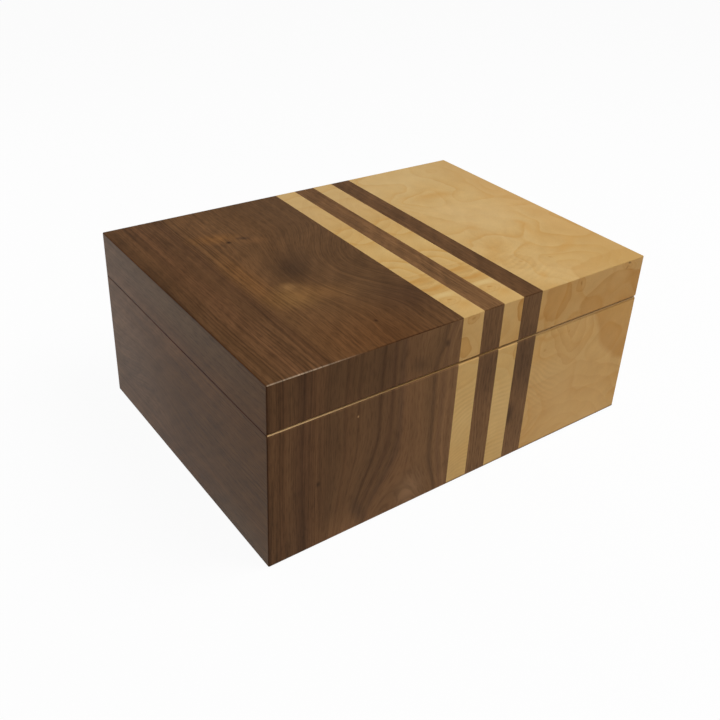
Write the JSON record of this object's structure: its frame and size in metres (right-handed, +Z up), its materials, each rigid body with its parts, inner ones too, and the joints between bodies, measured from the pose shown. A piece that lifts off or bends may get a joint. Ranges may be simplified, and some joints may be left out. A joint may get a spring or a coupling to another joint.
{
  "type": "wooden puzzle box",
  "caption": "Veneered wooden box with a hinged lid, dark walnut and pale burl parted by stripes, lined inside and held shut by a hidden lock of loose pins.",
  "frame": {"origin": "on the surface that the box stands on, under the middle of the case", "axes": "+X to the right along the front, +Y to the back, +Z up"},
  "size_m": [0.3, 0.2234, 0.1275],
  "materials": {
    "walnut_veneer": "lacquered walnut veneer, satin gloss",
    "burl_veneer": "lacquered pale burl veneer, satin gloss",
    "carcass_wood": "sawn and sanded pale hardwood",
    "lining_wood": "planed and oiled pale hardwood",
    "baize": "pressed wool felt",
    "brass": "turned and polished",
    "steel": "ground"
  },
  "bodies": {
    "case": {"baize_pad": "baize", "case_back_board": "carcass_wood", "case_back_burl_field": "burl_veneer", "case_back_burl_stripes": "burl_veneer", "case_back_liner": "lining_wood", "case_back_walnut_field": "walnut_veneer", "case_back_walnut_stripes": "walnut_veneer", "case_bottom_board": "carcass_wood", "case_corner_splines": "carcass_wood", "case_floor_liner": "lining_wood", "case_front_board": "carcass_wood", "case_front_burl_field": "burl_veneer", "case_front_burl_stripes": "burl_veneer", "case_front_liner": "lining_wood", "case_front_walnut_field": "walnut_veneer", "case_front_walnut_stripes": "walnut_veneer", "case_left_board": "carcass_wood", "case_left_liner": "lining_wood", "case_left_walnut": "walnut_veneer", "case_right_board": "carcass_wood", "case_right_burl": "burl_veneer", "case_right_liner": "lining_wood", "hinge_case_screws": "brass", "left_hinge_case_leaf": "brass", "left_hinge_pin": "brass", "right_hinge_case_leaf": "brass", "right_hinge_pin": "brass"},
    "lid": {"lid_back_board": "carcass_wood", "lid_back_burl_field": "burl_veneer", "lid_back_burl_stripes": "burl_veneer", "lid_back_liner": "lining_wood", "lid_back_walnut_field": "walnut_veneer", "lid_back_walnut_stripes": "walnut_veneer", "lid_ceiling_liner": "lining_wood", "lid_corner_splines": "carcass_wood", "lid_front_board": "carcass_wood", "lid_front_burl_field": "burl_veneer", "lid_front_burl_stripes": "burl_veneer", "lid_front_liner": "lining_wood", "lid_front_walnut_field": "walnut_veneer", "lid_front_walnut_stripes": "walnut_veneer", "lid_left_board": "carcass_wood", "lid_left_liner": "lining_wood", "lid_left_walnut": "walnut_veneer", "lid_right_board": "carcass_wood", "lid_right_burl": "burl_veneer", "lid_right_liner": "lining_wood", "lid_top_board": "carcass_wood", "lid_top_burl_field": "burl_veneer", "lid_top_burl_stripes": "burl_veneer", "lid_top_walnut_field": "walnut_veneer", "lid_top_walnut_stripes": "walnut_veneer", "left_hinge_lid_leaf": "brass", "right_hinge_lid_leaf": "brass", "hinge_lid_screws": "brass", "lock_link_plate": "brass", "link_plate_screws": "brass"},
    "left_lock_pin": {"left_lock_pin": "steel"},
    "right_lock_pin": {"right_lock_pin": "steel"}
  },
  "joints": [
    {"name": "lid_hinge", "type": "hinge", "parent": "case", "child": "lid", "pos_m": [0, 0.11155, 0.0952], "axis": [-1, 0, 0], "range_deg": [0, 95]},
    {"name": "left_lock_pin_slide", "type": "slide", "parent": "case", "child": "left_lock_pin", "axis": [1, 0, 0], "range_m": [0, 0.009]},
    {"name": "right_lock_pin_slide", "type": "slide", "parent": "case", "child": "right_lock_pin", "axis": [-1, 0, 0], "range_m": [0, 0.009]}
  ]
}
